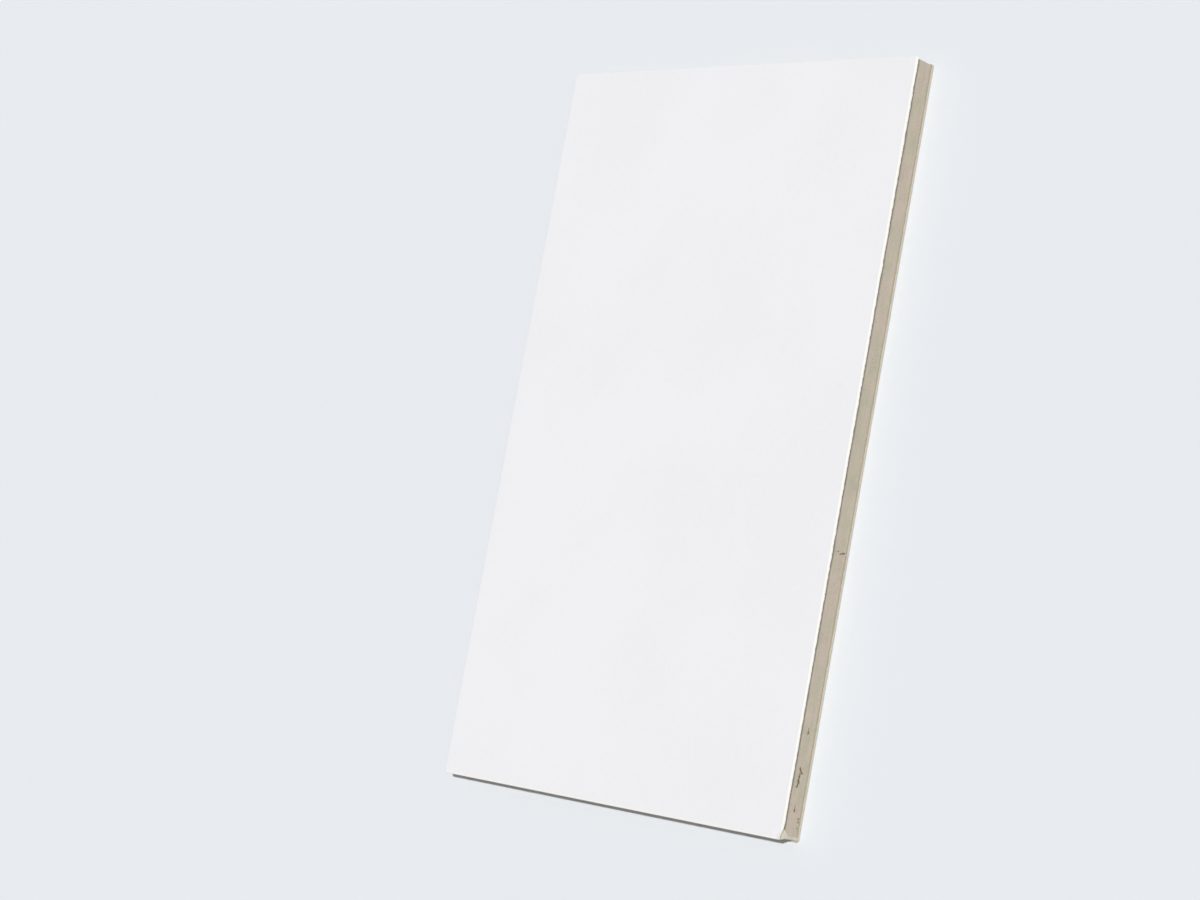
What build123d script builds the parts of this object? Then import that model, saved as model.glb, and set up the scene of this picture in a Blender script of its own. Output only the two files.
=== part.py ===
from build123d import *
import os

# A cut piece of gypsum board, lying on its back with its face up.
# X runs across the sheet, Y along it and Z through its thickness, in millimetres.
# The origin is the centre of the back face.
sheet_width = 255.0
sheet_length = 425.0
sheet_thickness = 15.9

# Paper over the face and over the back of the gypsum
face_paper_thickness = 0.5
back_paper_thickness = 0.5

# The knife presses both papers' rims over the edges of the gypsum, which stands a little inside them.
core_set_back = 0.5
face_rim_run = 0.1
back_rim_run = 1.0

# Worn corners, seen from above, and worn arrises, seen in section
core_corner_radius = 1.2
core_face_arris_radius = 0.3
core_back_arris_radius = 0.4

# One corner has been knocked: the gypsum is crushed away to these depths from its square corner.
bruise_across = 2.0
bruise_along = 5.0
bruise_down = 6.0

# The face paper has torn off over that corner, leaving a slanting edge.
tear_across = 1.2
tear_along = 5.5

core_width = sheet_width - 2 * core_set_back
core_length = sheet_length - 2 * core_set_back
core_bottom = back_paper_thickness
core_top = sheet_thickness - face_paper_thickness


def worn_slab(width, length, bottom, top, corner_radius):
    """A flat slab between two heights, with its four upright corners worn round."""
    slab = Box(width, length, top - bottom, align=(Align.CENTER, Align.CENTER, Align.MIN))
    slab = Pos(0, 0, bottom) * slab
    return fillet(slab.edges().filter_by(Axis.Z), corner_radius)


def slanting_cut(corner, across, along, down=None):
    """The plane that cuts off a corner of the sheet at its right-hand near end.

    It meets the three edges of the square corner at the distances given. Without the last one it
    stands upright. It faces out of the sheet.
    """
    fall = 0 if down is None else 1 / down
    outward = Vector(1 / across, -1 / along, fall)
    return Plane(origin=corner - Vector(across, 0, 0), z_dir=outward)


def whole_core():
    """The gypsum before it was knocked, with both arrises worn round."""
    core = worn_slab(core_width, core_length, core_bottom, core_top, core_corner_radius)
    core = fillet(core.faces().sort_by(Axis.Z)[-1].edges(), core_face_arris_radius)
    return fillet(core.faces().sort_by(Axis.Z)[0].edges(), core_back_arris_radius)


def gypsum_core():
    """The plaster core, with one corner of its face side crushed away."""
    corner = Vector(core_width / 2, -core_length / 2, core_top)
    knock = slanting_cut(corner, bruise_across, bruise_along, bruise_down)
    return split(whole_core(), bisect_by=knock, keep=Keep.BOTTOM)


def face_paper():
    """The finished side's paper: flat over the core, rolled over its arris and torn at the knock."""
    arris_radius = core_face_arris_radius + face_paper_thickness
    rim_bottom = sheet_thickness - arris_radius - face_rim_run
    corner_radius = core_corner_radius + core_set_back
    paper = worn_slab(sheet_width, sheet_length, rim_bottom, sheet_thickness, corner_radius)
    paper = fillet(paper.faces().sort_by(Axis.Z)[-1].edges(), arris_radius)
    paper = paper - whole_core()
    corner = Vector(sheet_width / 2, -sheet_length / 2, sheet_thickness)
    tear = slanting_cut(corner, tear_across, tear_along)
    return split(paper, bisect_by=tear, keep=Keep.BOTTOM)


def back_paper():
    """The back's paper: flat under the core, with its rim pressed up over the lower arris."""
    arris_radius = core_back_arris_radius + back_paper_thickness
    rim_top = arris_radius + back_rim_run
    corner_radius = core_corner_radius + core_set_back
    paper = worn_slab(sheet_width, sheet_length, 0, rim_top, corner_radius)
    paper = fillet(paper.faces().sort_by(Axis.Z)[0].edges(), arris_radius)
    return paper - whole_core()


pieces = {
    "gypsum_core": gypsum_core(),
    "face_paper": face_paper(),
    "back_paper": back_paper(),
}

os.makedirs("parts", exist_ok=True)
for name, piece in pieces.items():
    export_step(piece, f"parts/{name}.step")
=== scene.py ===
import math
import random
import bmesh
import bpy
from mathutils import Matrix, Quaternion, Vector, kdtree, noise


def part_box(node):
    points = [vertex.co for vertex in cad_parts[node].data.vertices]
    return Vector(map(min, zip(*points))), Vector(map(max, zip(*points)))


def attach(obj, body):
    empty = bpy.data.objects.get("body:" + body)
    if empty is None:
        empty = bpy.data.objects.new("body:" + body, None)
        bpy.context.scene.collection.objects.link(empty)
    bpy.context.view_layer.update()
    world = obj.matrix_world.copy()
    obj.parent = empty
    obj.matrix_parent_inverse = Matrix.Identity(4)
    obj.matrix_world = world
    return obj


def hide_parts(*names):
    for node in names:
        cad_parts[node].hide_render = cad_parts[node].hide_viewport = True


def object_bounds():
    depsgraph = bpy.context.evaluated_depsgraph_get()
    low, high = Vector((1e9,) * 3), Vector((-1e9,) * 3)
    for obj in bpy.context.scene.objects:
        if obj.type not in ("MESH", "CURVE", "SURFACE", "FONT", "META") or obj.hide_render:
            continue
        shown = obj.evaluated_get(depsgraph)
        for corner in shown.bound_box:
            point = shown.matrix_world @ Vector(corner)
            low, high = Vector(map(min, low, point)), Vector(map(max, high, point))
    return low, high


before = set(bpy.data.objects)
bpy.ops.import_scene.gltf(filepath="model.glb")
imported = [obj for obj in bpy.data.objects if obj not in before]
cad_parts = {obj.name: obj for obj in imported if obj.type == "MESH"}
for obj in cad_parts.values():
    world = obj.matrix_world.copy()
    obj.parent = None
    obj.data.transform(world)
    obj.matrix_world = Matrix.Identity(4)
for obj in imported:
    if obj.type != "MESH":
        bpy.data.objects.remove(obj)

cad_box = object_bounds()
sheet_low, sheet_high = cad_box
mm = 0.001

# Camera. It looks down on the face from beyond the right-hand cut edge, through a long lens, and is
# rolled so that the sheet's length runs up the picture.
aim = Vector((-51.2 * mm, -15.1 * mm, sheet_high.z))
distance = 1.540
azimuth = math.radians(80.8)
elevation = math.radians(46.0)
roll = math.radians(72.85)
lens_mm = 80.5
nearest_seen = 0.05
farthest_seen = 50

toward_camera = Vector((
    math.sin(azimuth) * math.cos(elevation),
    -math.cos(azimuth) * math.cos(elevation),
    math.sin(elevation),
))
bpy.ops.object.camera_add(location=aim + toward_camera * distance)
camera = bpy.context.object
camera.name = "camera"
camera.rotation_mode = "QUATERNION"
level_view = (-toward_camera).to_track_quat("-Z", "Y")
camera.rotation_quaternion = Quaternion(toward_camera, -roll) @ level_view
camera.data.lens = lens_mm
camera.data.clip_start = nearest_seen
camera.data.clip_end = farthest_seen
bpy.context.scene.camera = camera

# Floor and light. A wide matt board carries the sheet. The sky is an even white dome, and one far
# lamp stands to the right and a little beyond the far end, so that the right arris catches it and
# the near end throws a narrow dark shadow.
sky_share = 0.25
lamp_elevation = math.radians(59)
lamp_bearing = math.radians(12)
lamp_spread = math.radians(2)
floor_width = 24
floor_drop = 0.2 * mm


def linear(red, green, blue):
    """The linear colour of a screen colour given as 0 to 255."""
    def one(value):
        share = value / 255
        return share / 12.92 if share <= 0.04045 else ((share + 0.055) / 1.055) ** 2.4
    return (one(red), one(green), one(blue), 1.0)


def add(tree, kind, inputs=None, **settings):
    """Adds a shader node. An input is given a value, or another node's output to join it to."""
    made = tree.nodes.new("ShaderNode" + kind)
    for name, value in settings.items():
        setattr(made, name, value)
    for name, value in (inputs or {}).items():
        if isinstance(value, bpy.types.NodeSocket):
            tree.links.new(value, made.inputs[name])
        else:
            made.inputs[name].default_value = value
    return made


def calculate(tree, operation, *values):
    """The result of one sum on values or patterns."""
    return add(tree, "Math", dict(enumerate(values)), operation=operation).outputs[0]


def cloudy(tree, place, scale, detail, roughness=0.5):
    """An uneven pattern of about 0 to 1, with scale lumps to the metre."""
    inputs = {"Vector": place, "Scale": scale, "Detail": detail, "Roughness": roughness}
    return add(tree, "TexNoise", inputs).outputs["Fac"]


def blend_colours(tree, share, first, second, blend="MIX"):
    """A colour that goes from first to second as share goes from 0 to 1."""
    made = add(tree, "Mix", {0: share, 6: first, 7: second}, data_type="RGBA", blend_type=blend)
    return made.outputs[2]


def new_material(name, roughness, gloss):
    """An empty material with its shader, and that shader's node tree."""
    made = bpy.data.materials.new(name)
    made.use_nodes = True
    shader = made.node_tree.nodes["Principled BSDF"]
    shader.inputs["Roughness"].default_value = roughness
    shader.inputs["Specular IOR Level"].default_value = gloss
    return made, made.node_tree, shader


pale_floor = linear(233, 237, 241)
dull_floor = linear(230, 234, 239)
backdrop_colour = linear(235, 239, 243)

bpy.ops.object.select_all(action="DESELECT")
bpy.ops.mesh.primitive_plane_add(size=floor_width, location=(0, 0, -floor_drop))
floor = bpy.context.object
floor.name = "studio_floor"
floor_paint, tree, shader = new_material("pale floor", roughness=0.9, gloss=0.1)
place = add(tree, "TexCoord").outputs["Object"]
tint = blend_colours(tree, cloudy(tree, place, 3.0, 3.0), dull_floor, pale_floor)
tree.links.new(tint, shader.inputs["Base Color"])
floor.data.materials.append(floor_paint)

bpy.ops.object.light_add(type="SUN", location=(1, 1, 2))
lamp = bpy.context.object
lamp.name = "far_lamp"
toward_lamp = Vector((
    math.cos(lamp_bearing) * math.cos(lamp_elevation),
    math.sin(lamp_bearing) * math.cos(lamp_elevation),
    math.sin(lamp_elevation),
))
lamp.rotation_mode = "QUATERNION"
lamp.rotation_quaternion = toward_lamp.to_track_quat("Z", "Y")
lamp.data.angle = lamp_spread
lamp.data.energy = (1 - sky_share) * math.pi / math.sin(lamp_elevation)

# The sky lights the sheet evenly, and what looks straight at it, or by way of metal or glass, sees
# the backdrop's own colour.
world = bpy.data.worlds.new("even sky")
bpy.context.scene.world = world
world.use_nodes = True
tree = world.node_tree
tree.nodes.clear()
ray = add(tree, "LightPath").outputs
seen = calculate(tree, "MAXIMUM", ray["Is Camera Ray"], ray["Is Glossy Ray"])
seen = calculate(tree, "MAXIMUM", seen, ray["Is Transmission Ray"])
sky = add(tree, "Background", {"Color": (1, 1, 1, 1), "Strength": sky_share})
backdrop = add(tree, "Background", {"Color": backdrop_colour, "Strength": 1.0})
both = add(tree, "MixShader", {0: seen, 1: sky.outputs[0], 2: backdrop.outputs[0]})
add(tree, "OutputWorld", {"Surface": both.outputs[0]})
bpy.context.scene.view_settings.view_transform = "Standard"

# Gypsum core. Foamed plaster, cast between two papers and cut through on all four sides, so that
# its sides show a fine sawn grain, small air bubbles, a few scuffs and a crushed corner.
core_low, core_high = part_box("gypsum_core")
core_size = core_high - core_low
core_corner_radius = 1.2 * mm
corner_segments = 4
core_arris_radius = 0.35 * mm
core_arris_segments = 2
core_pitch = 0.6 * mm
core_smooth_below = math.radians(50)
cut_spacing = 8 * mm
face_rim_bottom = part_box("face_paper")[0].z
back_rim_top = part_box("back_paper")[1].z
touching = 1e-6


def pick(piece, kind, wanted):
    """In edit mode, selects only the corners, edges or faces that wanted says yes to."""
    bpy.ops.mesh.select_mode(type=kind)
    bpy.ops.mesh.select_all(action="DESELECT")
    cage = bmesh.from_edit_mesh(piece.data)
    for item in {"VERT": cage.verts, "EDGE": cage.edges, "FACE": cage.faces}[kind]:
        if wanted(item):
            item.select_set(True)
    cage.select_flush_mode()
    bmesh.update_edit_mesh(piece.data)


def runs_along(edge, axis, shortest=0.0):
    """Whether an edge runs along X, Y or Z (0, 1, 2) and is longer than shortest."""
    step = edge.verts[1].co - edge.verts[0].co
    others = [abs(step[k]) for k in range(3) if k != axis]
    return max(others) < touching and abs(step[axis]) > max(shortest, touching)


def lies_at(item, height):
    """Whether all the corners of an edge or a face are at a height."""
    return all(abs(end.co.z - height) < touching for end in item.verts)


def start_block(name, low, high, corner_radius):
    """A block between two corners, with its upright corners worn round, left in edit mode."""
    bpy.ops.object.select_all(action="DESELECT")
    bpy.ops.mesh.primitive_cube_add(size=1, location=(low + high) / 2, scale=high - low)
    bpy.ops.object.transform_apply(location=True, rotation=True, scale=True)
    piece = bpy.context.object
    piece.name = name
    bpy.ops.object.mode_set(mode="EDIT")
    pick(piece, "EDGE", lambda edge: runs_along(edge, 2))
    bpy.ops.mesh.bevel(offset=corner_radius, segments=corner_segments)
    return piece


straight = (core_high.x - core_corner_radius, core_high.y - core_corner_radius)


def divide(piece, pitch):
    """Cuts the piece across at wide even steps, and then the edges round its border at pitch."""
    for axis in (0, 1):
        steps = round(2 * straight[axis] / cut_spacing)
        normal = Vector((1 - axis, axis, 0))
        for k in range(1, steps):
            bpy.ops.mesh.select_all(action="SELECT")
            cut = normal * straight[axis] * (2 * k / steps - 1)
            bpy.ops.mesh.bisect(plane_co=cut, plane_no=normal)
    for axis in (0, 1):
        border = straight[1 - axis] + touching
        pick(piece, "EDGE", lambda edge: (
            runs_along(edge, axis, 2 * pitch) and abs(edge.verts[0].co[1 - axis]) > border
        ))
        length = 2 * straight[axis] / round(2 * straight[axis] / cut_spacing)
        bpy.ops.mesh.subdivide(number_cuts=round(length / pitch) - 1)


def weigh(piece, name, weight_of):
    """Weighs each corner of the mesh, as a group to shape by and an attribute to paint by."""
    weights = [max(0.0, min(1.0, weight_of(vertex.co))) for vertex in piece.data.vertices]
    group = piece.vertex_groups.new(name=name)
    for index, weight in enumerate(weights):
        if weight > 0:
            group.add([index], weight, "REPLACE")
    layer = piece.data.attributes.new(name + "_share", "FLOAT", "POINT")
    layer.data.foreach_set("value", weights)


def press(piece, group, depth, direction="NORMAL", middle=1.0, grain=None, depth_of_grain=2):
    """Pushes the mesh by up to depth where the group has weight, in lumps if grain is given."""
    bpy.ops.object.modifier_add(type="DISPLACE")
    modifier = piece.modifiers[-1]
    modifier.vertex_group = group
    modifier.strength = depth
    modifier.direction = direction
    modifier.mid_level = middle
    modifier.texture_coords = "LOCAL"
    if grain is not None:
        pattern = bpy.data.textures.new(group, "CLOUDS")
        pattern.noise_scale = grain
        pattern.noise_depth = depth_of_grain
        modifier.texture = pattern
    bpy.ops.object.modifier_apply(modifier=modifier.name)


core = start_block("cut_gypsum_core", core_low, core_high, core_corner_radius)
pick(core, "EDGE", lambda edge: lies_at(edge, core_low.z) or lies_at(edge, core_high.z))
bpy.ops.mesh.bevel(offset=core_arris_radius, segments=core_arris_segments)
divide(core, core_pitch)
side_height = core_size.z - 2 * core_arris_radius
pick(core, "EDGE", lambda edge: runs_along(edge, 2, side_height / 2))
bpy.ops.mesh.subdivide(number_cuts=round(side_height / core_pitch) - 1)

# The knocked corner is cut up finely, so that what lies beyond a slope can be crushed back onto it.
# The plaster is freshly broken there, and down the upright edge below it.
bruise_across = 2.0 * mm
bruise_along = 5.0 * mm
bruise_down = 6.0 * mm
fine_border = 1 * mm
crumb_reach = 1.2 * mm
edge_reach = 2.2 * mm
edge_share = 1.25
corner = Vector((core_high.x, core_low.y, core_high.z))
slope = Vector((1 / bruise_across, -1 / bruise_along, 1 / bruise_down)).normalized()
crush_depth = bruise_across * slope.x


def crushed(point):
    """How far a point lies beyond the slope of the knocked corner, as a share of the most."""
    return ((point - corner).dot(slope) + crush_depth) / crush_depth


def broken(point):
    """How fresh the broken plaster is, on the crushed corner and the upright edge below it."""
    if point.x < core_high.x - 2 * bruise_across or point.y > core_low.y + 2 * bruise_down:
        return 0.0
    inside = -((point - corner).dot(slope) + crush_depth)
    away = (point.y - core_low.y) / edge_reach + max(0.0, core_high.x - point.x) / edge_reach
    return max(1 - inside / crumb_reach, edge_share - away)


pick(core, "FACE", lambda face: abs(face.normal.z) < 0.5 and (
    (face.calc_center_median() - corner).dot(slope) > -crush_depth - fine_border
))
bpy.ops.mesh.subdivide(number_cuts=2)

# Scuffs on the right-hand cut side. Each is a trail of points, as millimetres from the near end and
# millimetres below the face, with its half width.
scuffs = (
    (((38.9, 7.2), (37.7, 7.6), (36.6, 8.5), (35.5, 7.9), (34.3, 7.7)), 0.9),
    (((34.3, 7.7), (33.3, 7.8), (32.3, 7.4), (31.6, 7.6), (30.9, 8.1)), 1.4),
    (((30.9, 8.1), (30.3, 7.6), (29.9, 7.3), (29.4, 7.5), (28.7, 6.9)), 1.2),
    (((36.6, 8.5), (36.2, 9.2), (35.7, 9.8)), 0.9),
    (((32.2, 7.4), (31.8, 6.7)), 0.8),
    (((19.1, 8.4), (17.7, 8.5), (16.5, 8.4)), 0.7),
    (((16.5, 8.4), (16.0, 8.4)), 1.4),
    (((57.8, 8.8), (57.3, 8.8)), 1.2),
    (((59.6, 8.5), (58.8, 8.9)), 0.7),
    (((153.2, 9.1), (153.8, 11.3), (154.1, 13.2)), 0.8),
    (((154.7, 7.7), (154.2, 7.4)), 0.8),
    (((7.8, 12.9), (7.4, 13.1)), 0.8),
    (((11.0, 12.9), (10.6, 13.1)), 0.7),
    (((12.6, 12.7), (12.1, 12.9)), 0.7),
    (((6.4, 2.6), (6.1, 2.9)), 0.8),
    (((5.0, 3.1), (4.6, 3.5)), 0.8),
)
last_scuff = 180 * mm
side_skin = 1 * mm
raggedness = 0.5 * mm
ragged_grain = 0.9 * mm
hollow_border = 0.3 * mm
hollow_cuts = 3
scuff_squares = 0.1 * mm * mm
noise.seed_set(7)


def nearness(point, trail, width):
    """How close a point on the right-hand side is to a trail of (along, below) points, 0 to 1."""
    here = Vector((point.y - sheet_low.y, sheet_high.z - point.z))
    ragged = noise.turbulence_vector(point / ragged_grain, 3, False)
    here += Vector((ragged.y, ragged.z)) * raggedness
    nearest = 1.0
    for start, end in zip(trail, trail[1:]):
        first, step = Vector(start) * mm, (Vector(end) - Vector(start)) * mm
        share = max(0.0, min(1.0, (here - first).dot(step) / step.length_squared))
        nearest = min(nearest, (here - first - step * share).length)
    return 1 - nearest / width


def scuffed(point, margin=0.0):
    """How deep in a scuff a point of the core is, 0 to 1, with a margin added round each scuff."""
    if point.x < core_high.x - side_skin or point.y - sheet_low.y > last_scuff:
        return 0.0
    return max(nearness(point, trail, width * mm + margin) for trail, width in scuffs)


pick(core, "FACE", lambda face: (
    face.calc_area() > scuff_squares and scuffed(face.calc_center_median(), hollow_border) > 0
))
bpy.ops.mesh.subdivide(number_cuts=hollow_cuts)

# Air bubbles, opened by the cut. The large ones are round hollows in a finer patch of mesh. Blender
# lists a bevelled mesh in an order that varies, so each draw belongs to a place and not to a turn.
dice = random.Random(11)
bubble_count = 90
smallest_bubble = 0.3
largest_bubble = 0.75
bubble_squares = 0.2 * mm * mm
hollow_clearance = 2.6 * mm


def on_side(point, reach=1.5 * mm):
    """How much of a cut side a point is on: 1 between the papers' rims and 0 under them."""
    above = (point.z - back_rim_top) / reach
    below = (face_rim_bottom - point.z) / reach
    return min(1.0, max(0.0, above)) * min(1.0, max(0.0, below))


def clear_of_rims(point):
    """Whether a hollow at a point of a cut side is seen whole, between both papers."""
    return on_side(point, hollow_clearance) > 0.99


cage = bmesh.from_edit_mesh(core.data)
open_places = sorted((item.co.copy() for item in cage.verts if clear_of_rims(item.co)), key=tuple)
places = dice.sample(open_places, bubble_count)
radii = [dice.uniform(smallest_bubble, largest_bubble) * mm for _ in places]
bubbles = kdtree.KDTree(bubble_count)
for index, spot in enumerate(places):
    bubbles.insert(spot, index)
bubbles.balance()


def hollowed(point, margin=0.0):
    """How deep in a large air bubble a point is, 0 to 1, with a margin added round each bubble."""
    _, index, away = bubbles.find(point)
    return max(0.0, 1 - (away / (radii[index] + margin)) ** 2) ** 0.5


pick(core, "FACE", lambda face: (
    face.calc_area() > bubble_squares and hollowed(face.calc_center_median(), hollow_border) > 0
))
bpy.ops.mesh.subdivide(number_cuts=hollow_cuts)
bpy.ops.object.mode_set(mode="OBJECT")

# The wear of the core: how deep each mark goes, and how far it reaches from the paper's rim. The
# rim reaches also set the painted shade lines along both rims.
crumb_depth = 0.5 * mm
wave_depth = 0.30 * mm
saw_depth = 0.25 * mm
rim_mark_depth = 0.3 * mm
under_rim_drop = 1.5 * mm
under_rim_reach = 1.8 * mm
over_rim_reach = 0.7 * mm
scuff_depth = 0.4 * mm
bubble_depth = 0.45 * mm

weigh(core, "broken", broken)
weigh(core, "crushed", crushed)
for direction, part in zip("XYZ", slope):
    press(core, "crushed", -part * crush_depth, direction=direction, middle=0.0)
press(core, "broken", crumb_depth, grain=1.3 * mm, depth_of_grain=4)
weigh(core, "cut_side", on_side)
press(core, "cut_side", wave_depth, grain=9 * mm)
press(core, "cut_side", saw_depth, grain=1.6 * mm, depth_of_grain=3)
weigh(core, "under_rim", lambda point: (
    1 - abs(point.z - face_rim_bottom + under_rim_drop) / under_rim_reach
))
press(core, "under_rim", rim_mark_depth, grain=2.5 * mm, middle=1.2)
weigh(core, "over_rim", lambda point: 1 - abs(point.z - back_rim_top) / over_rim_reach)
press(core, "over_rim", rim_mark_depth, grain=2.5 * mm)
weigh(core, "scuffed", scuffed)
press(core, "scuffed", -scuff_depth, middle=0.0)
weigh(core, "hollowed", hollowed)
press(core, "hollowed", -bubble_depth, middle=0.0)

# The small air bubbles are eight-sided pits of two sizes, with sloping walls, sunk in the finished
# face. Each size takes the squares whose lot falls in its range. Lengths and areas are in mm.
least_square = 0.25
most_square = 0.5
lot_width = 0.5 * mm
pit_sizes = (
    # from lot, to lot, border, corner cut off, least area, most area, slant of the wall
    (0.0, 0.003, 0.11, 0.11, 0.08, 0.2, 0.09),
    (0.003, 0.009, 0.2, 0.055, 0.025, 0.05, 0.05),
)


def lot(point):
    """A number from 0 to 1, drawn once for each place that is lot_width wide."""
    return random.Random(str([round(part / lot_width) for part in point])).random()


bpy.ops.object.mode_set(mode="EDIT")
for first, last, border, chamfer, least, most, slant in pit_sizes:
    pick(core, "FACE", lambda face: (
        clear_of_rims(face.calc_center_median())
        and abs(face.normal.z) < 0.5
        and least_square < face.calc_area() / mm ** 2 < most_square
        and first < lot(face.calc_center_median()) < last
    ))
    bpy.ops.mesh.inset(thickness=border * mm, use_individual=True)
    bpy.ops.mesh.bevel(offset=chamfer * mm, affect="VERTICES")
    pick(core, "FACE", lambda face: (
        len(face.verts) == 8 and least < face.calc_area() / mm ** 2 < most
    ))
    bpy.ops.mesh.inset(thickness=slant * mm, depth=-2 * slant * mm, use_individual=True)
bpy.ops.object.mode_set(mode="OBJECT")
bpy.ops.object.shade_smooth_by_angle(angle=core_smooth_below)

pink_plaster = linear(199, 184, 169)
grey_plaster = linear(190, 183, 163)
pore_shadow = linear(120, 108, 92)
rim_shadow = linear(140, 133, 121)
over_rim_shade = linear(168, 155, 138)
smudge_brown = linear(140, 124, 101)
crack_brown = linear(102, 87, 64)
fresh_plaster = linear(210, 203, 188)


def ramp(tree, value, low, high, bottom=0.0, top=1.0):
    """Goes from bottom to top as value goes from low to high, and is level on either side."""
    inputs = {"Value": value, "From Min": low, "From Max": high, "To Min": bottom, "To Max": top}
    return add(tree, "MapRange", inputs).outputs[0]


def share_of(tree, name):
    """The weight that weigh() gave the mesh under a name."""
    return add(tree, "Attribute", attribute_name=name + "_share").outputs["Fac"]


def roughen(tree, shader, relief, strength, height):
    """Raises the surface by a pattern, up to height."""
    bump = add(tree, "Bump", {"Height": relief, "Strength": strength, "Distance": height})
    tree.links.new(bump.outputs[0], shader.inputs["Normal"])


# The plaster's ground: two tints in patches, a fine grain, and streaks that the saw drew round it.
plaster, tree, shader = new_material("cut gypsum", roughness=0.95, gloss=0.2)
place = add(tree, "TexCoord").outputs["Object"]
patches = cloudy(tree, place, 70.0, 3.0)
tinted = blend_colours(tree, ramp(tree, patches, 0.35, 0.65), pink_plaster, grey_plaster)
grain = cloudy(tree, place, 1500.0, 6.0, 0.75)
speckle = ramp(tree, grain, 0.35, 0.65, 0.91, 1.06)
speckled = blend_colours(tree, 1.0, tinted, speckle, "MULTIPLY")
drawn = add(tree, "Mapping", {"Vector": place, "Scale": (0.1, 0.1, 1.0)}).outputs[0]
streak = ramp(tree, cloudy(tree, drawn, 500.0, 3.0), 0.3, 0.7, 0.95, 1.03)
streaked = blend_colours(tree, 1.0, speckled, streak, "MULTIPLY")

# Pores of three sizes, too small to model. Each is the middle of a cell, where the cell is chosen.
gathered = cloudy(tree, place, 180.0, 2.0)
pores = []
for scale, rarest, widest in ((800.0, 1.12, 0.26), (1300.0, 1.05, 0.24), (2600.0, 0.9, 0.28)):
    cells = add(tree, "TexVoronoi", {"Vector": place, "Scale": scale})
    chosen = add(tree, "SeparateColor", {"Color": cells.outputs["Color"]}).outputs[0]
    chosen = calculate(tree, "MULTIPLY_ADD", gathered, 0.6, chosen)
    chosen = ramp(tree, chosen, rarest, rarest + 0.05)
    hole = ramp(tree, cells.outputs["Distance"], widest / 2, widest, 1.0, 0.0)
    pores.append(calculate(tree, "MULTIPLY", hole, chosen))
pore = calculate(tree, "MAXIMUM", calculate(tree, "MAXIMUM", pores[0], pores[1]), pores[2])
pored = blend_colours(tree, calculate(tree, "MULTIPLY", pore, 0.35), streaked, pore_shadow)

# Marks: a painted shade line under the face paper's rim, a painted shade line over the back
# paper's, scuffs with a dark crack in them, and fresh crumbs where the corner is broken.
wavy = calculate(tree, "MULTIPLY_ADD", patches, 0.5, share_of(tree, "under_rim"))
wavy = calculate(tree, "MULTIPLY_ADD", grain, 0.35, wavy)
shaded = blend_colours(tree, ramp(tree, wavy, 0.48, 1.02), pored, rim_shadow)
# Painted shade: a darker tan line on the plaster just over the back paper's rim.
shaded = blend_colours(tree, share_of(tree, "over_rim"), shaded, over_rim_shade)
torn = calculate(tree, "MULTIPLY_ADD", grain, 0.7, share_of(tree, "scuffed"))
smudged = blend_colours(tree, ramp(tree, torn, 0.45, 1.2, top=0.75), shaded, smudge_brown)
dirty = blend_colours(tree, ramp(tree, torn, 0.85, 1.25, top=0.85), smudged, crack_brown)
crumbs = cloudy(tree, place, 1100.0, 4.0)
crumbled = calculate(tree, "MULTIPLY_ADD", crumbs, 0.9, share_of(tree, "broken"))
fresh = blend_colours(tree, ramp(tree, crumbled, 0.7, 0.95), dirty, fresh_plaster)
tree.links.new(fresh, shader.inputs["Base Color"])
relief = calculate(tree, "MULTIPLY_ADD", pore, -0.8, grain)
chalk = cloudy(tree, place, 4500.0, 3.0, 0.7)
relief = calculate(tree, "MULTIPLY_ADD", chalk, 0.45, relief)
roughen(tree, shader, relief, strength=0.7, height=0.3 * mm)
core.data.materials.append(plaster)
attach(core, "root")
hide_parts("gypsum_core")

# Face paper. Smooth off-white paper, glued to the plaster as it set. The knife has rolled its rim
# over the arris and left a ragged lower edge, and it is torn off over the crushed corner.
sheet_corner_radius = 1.7 * mm
face_arris_radius = 0.5 * mm
face_thickness = 0.45 * mm
paper_arris_segments = 4
paper_pitch = 0.5 * mm
paper_smooth_below = math.radians(40)
first_ring = 0.3 * mm
wear_and_highlight_border = 1.0 * mm
wear_and_highlight_strength = 1.3
free_row = 0.05 * mm
ripple_depth = 0.12 * mm
tear_across = 1.2 * mm
tear_along = 5.5 * mm
tear_reach = 1.2 * mm
tear_raggedness = 0.7 * mm
knock_reach = 7 * mm
knock_cuts = 8
knock_margin = 1.5 * mm
knock_depth = 0.6 * mm
sheet_area = (sheet_high.x - sheet_low.x) * (sheet_high.y - sheet_low.y)


def pressed_paper(name, node, flat_height, free_height, arris_radius):
    """One paper, left in edit mode: a flat sheet whose border turns over the plaster's arris."""
    paper = start_block(name, *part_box(node), sheet_corner_radius)
    pick(paper, "FACE", lambda face: lies_at(face, free_height))
    bpy.ops.mesh.delete(type="ONLY_FACE")
    pick(paper, "EDGE", lambda edge: lies_at(edge, flat_height))
    bpy.ops.mesh.bevel(offset=arris_radius, segments=paper_arris_segments)
    for ring in (first_ring, wear_and_highlight_border - first_ring):
        pick(paper, "FACE", lambda face: (
            lies_at(face, flat_height) and face.calc_area() > 0.5 * sheet_area
        ))
        bpy.ops.mesh.inset(thickness=ring)
    divide(paper, paper_pitch)
    return paper


def rubbed(point, arris_radius):
    """How much of the rim colour a point gets: a painted highlight on the face paper and wear on
    the back paper, wholly on its right-hand and near rims and less just inside them.
    """
    inside = min(sheet_high.x - point.x, point.y - sheet_low.y)
    return wear_and_highlight_strength * (1 - (inside - arris_radius) / wear_and_highlight_border)


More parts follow.
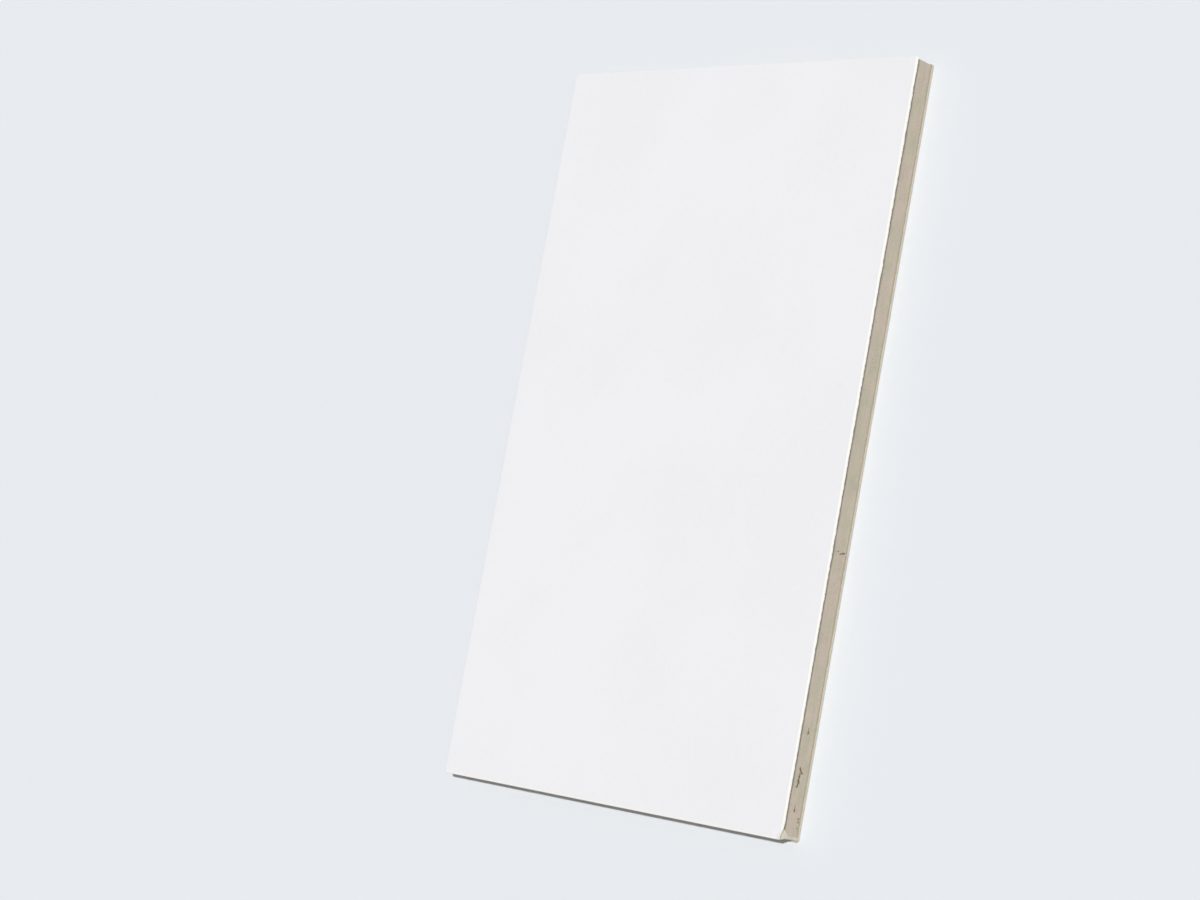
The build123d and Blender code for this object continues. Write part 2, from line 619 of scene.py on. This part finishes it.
def finish_paper(paper, flat_height, free_height, arris_radius, thickness, ragged, longer, tucked):
    """Frays the free rim, tucks it in, gives the paper its thickness inwards and smooths it."""
    upward = 1 if free_height < flat_height else -1
    run = abs(flat_height - free_height)
    # The rim share: a painted highlight on the face paper, wear on the back paper.
    weigh(paper, "rubbed", lambda point: rubbed(point, arris_radius))
    weigh(paper, "free", lambda point: 1 - abs(point.z - free_height) / free_row)
    press(
        paper, "free", ragged * upward,
        direction="Z", middle=0.5 + longer, grain=2.2 * mm, depth_of_grain=4
    )
    weigh(paper, "rim", lambda point: abs(point.z - flat_height) / run)
    press(paper, "rim", -tucked, middle=0.0)
    press(paper, "rim", ripple_depth, grain=5 * mm)
    bpy.ops.object.modifier_add(type="SOLIDIFY")
    wall = paper.modifiers[-1]
    wall.thickness = thickness
    wall.offset = -1
    wall.material_offset_rim = 1
    bpy.ops.object.modifier_apply(modifier=wall.name)
    bpy.ops.object.shade_smooth_by_angle(angle=paper_smooth_below)


# Greyer paper over the knocked dent: partly creased paper, partly painted shade where the bent-down
# corner turns from the light.
creased_and_shaded_paper = linear(214, 211, 204)


def paper_material(name, pale, dull, rim_wear_and_highlight, fleck, fleck_share, roughness):
    """Matt paper: a faint cloudiness, fibres that run along the sheet, flecks, a rim with a painted
    highlight on the face paper and wear on the back paper, and greyer creased paper with painted
    shade over the knocked corner.
    """
    made, tree, shader = new_material(name, roughness, gloss=0.25)
    place = add(tree, "TexCoord").outputs["Object"]
    cloud = cloudy(tree, place, 14.0, 4.0)
    drawn = add(tree, "Mapping", {"Vector": place, "Scale": (1.0, 0.22, 1.0)}).outputs[0]
    fibre = cloudy(tree, drawn, 1400.0, 4.0, 0.6)
    uneven = calculate(tree, "MULTIPLY", cloud, fibre)
    ground = blend_colours(tree, ramp(tree, uneven, 0.15, 0.35), pale, dull)
    spots = add(tree, "TexVoronoi", {"Vector": drawn, "Scale": 320.0}).outputs["Distance"]
    spot = ramp(tree, spots, 0.06, 0.12, fleck_share, 0.0)
    flecked = blend_colours(tree, spot, ground, fleck)
    # The rim colour is a painted highlight on the face paper and wear on the back paper.
    wear_and_highlight_amount = share_of(tree, "rubbed")
    fuzz = cloudy(tree, place, 1800.0, 5.0, 0.7)
    pilled_wear_and_highlight = blend_colours(tree, ramp(tree, fuzz, 0.42, 0.66, top=0.5), rim_wear_and_highlight, dull)
    edged = blend_colours(tree, wear_and_highlight_amount, flecked, pilled_wear_and_highlight)
    # Creasing and painted shade: the paper is greyer over the knocked-in corner.
    creased_and_shaded = calculate(tree, "MULTIPLY_ADD", fibre, 0.5, share_of(tree, "knocked"))
    bruised_and_shaded = blend_colours(tree, ramp(tree, creased_and_shaded, 0.5, 1.1), edged, creased_and_shaded_paper)
    tree.links.new(bruised_and_shaded, shader.inputs["Base Color"])
    roughed = calculate(tree, "MULTIPLY", fuzz, wear_and_highlight_amount)
    raised = calculate(tree, "MULTIPLY_ADD", roughed, 1.5, fibre)
    roughen(tree, shader, raised, strength=0.25, height=0.1 * mm)
    return made


face_paper = pressed_paper(
    "white_face_paper", "face_paper", sheet_high.z, face_rim_bottom, face_arris_radius
)
sheet_corner = Vector((sheet_high.x, sheet_low.y, sheet_high.z))
tear_slope = Vector((1 / tear_across, -1 / tear_along, 0)).normalized()
tear_depth = tear_across * tear_slope.x


def past_tear(point):
    """How far a point is past the line of the tear. It is negative on the paper that stays."""
    return (point - sheet_corner).dot(tear_slope) + tear_depth


# Over the knocked corner the flat is cut into small squares, so that it can bend down there. Then
# the corner is cut off along the tear, and the new edge is cut up so that it can fray.
for outward in (Vector((1, 0, 0)), Vector((0, -1, 0))):
    for k in range(1, knock_cuts):
        pick(face_paper, "FACE", lambda face: lies_at(face, sheet_high.z) and (
            (face.calc_center_median() - sheet_corner).length < 1.5 * knock_reach
        ))
        inward = outward * (knock_reach * k / knock_cuts + knock_margin)
        bpy.ops.mesh.bisect(plane_co=sheet_corner - inward, plane_no=outward)
bpy.ops.mesh.select_all(action="SELECT")
bpy.ops.mesh.bisect(
    plane_co=sheet_corner - Vector((tear_across, 0, 0)), plane_no=tear_slope, clear_outer=True
)
pick(face_paper, "EDGE", lambda edge: lies_at(edge, sheet_high.z) and all(
    abs(past_tear(end.co)) < touching for end in edge.verts
))
bpy.ops.mesh.subdivide(number_cuts=3)
bpy.ops.object.mode_set(mode="OBJECT")
weigh(face_paper, "tear", lambda point: 1 - abs(past_tear(point)) / tear_reach)
press(face_paper, "tear", tear_raggedness, direction="X", grain=1.0 * mm, depth_of_grain=3)
weigh(face_paper, "knocked", lambda point: (
    (1 - min(1, (point - sheet_corner).length / knock_reach)) ** 1.3
))
press(face_paper, "knocked", -knock_depth, direction="Z", middle=0.0)
finish_paper(
    face_paper, sheet_high.z, face_rim_bottom, face_arris_radius, face_thickness,
    ragged=1.0 * mm, longer=0.5, tucked=0.05 * mm
)
# Painted highlight: the face paper's right-hand and near rims are painted whiter, standing in for
# the arris catching the light.
painted_highlight_white = linear(248, 244, 238)
face_paper.data.materials.append(paper_material(
    "white face paper", pale=linear(241, 241, 243), dull=linear(238, 238, 240), rim_wear_and_highlight=painted_highlight_white,
    fleck=linear(230, 229, 227), fleck_share=0.2, roughness=0.75
))
face_paper.data.materials.append(paper_material(
    "torn paper edge", pale=linear(250, 247, 241), dull=linear(236, 232, 224), rim_wear_and_highlight=painted_highlight_white,
    fleck=linear(222, 217, 207), fleck_share=0.4, roughness=0.95
))
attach(face_paper, "root")
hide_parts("face_paper")

# Back paper. A plain cream-grey liner made of recycled fibre, with its rim pressed up over the
# lower arris in the same way. The sheet lies on it.
back_arris_radius = 0.7 * mm
back_thickness = 0.45 * mm
back_paper = pressed_paper(
    "cream_back_paper", "back_paper", sheet_low.z, back_rim_top, back_arris_radius
)
bpy.ops.object.mode_set(mode="OBJECT")
finish_paper(
    back_paper, sheet_low.z, back_rim_top, back_arris_radius, back_thickness,
    ragged=1.3 * mm, longer=-0.3, tucked=0.2 * mm
)
worn_cream = linear(202, 195, 177)
back_paper.data.materials.append(paper_material(
    "cream back paper", pale=linear(214, 206, 190), dull=linear(203, 194, 177), rim_wear_and_highlight=worn_cream,
    fleck=linear(160, 148, 128), fleck_share=0.5, roughness=0.85
))
back_paper.data.materials.append(paper_material(
    "torn back edge", pale=linear(224, 217, 200), dull=linear(208, 200, 182), rim_wear_and_highlight=worn_cream,
    fleck=linear(170, 158, 138), fleck_share=0.4, roughness=0.95
))
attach(back_paper, "root")
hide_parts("back_paper")
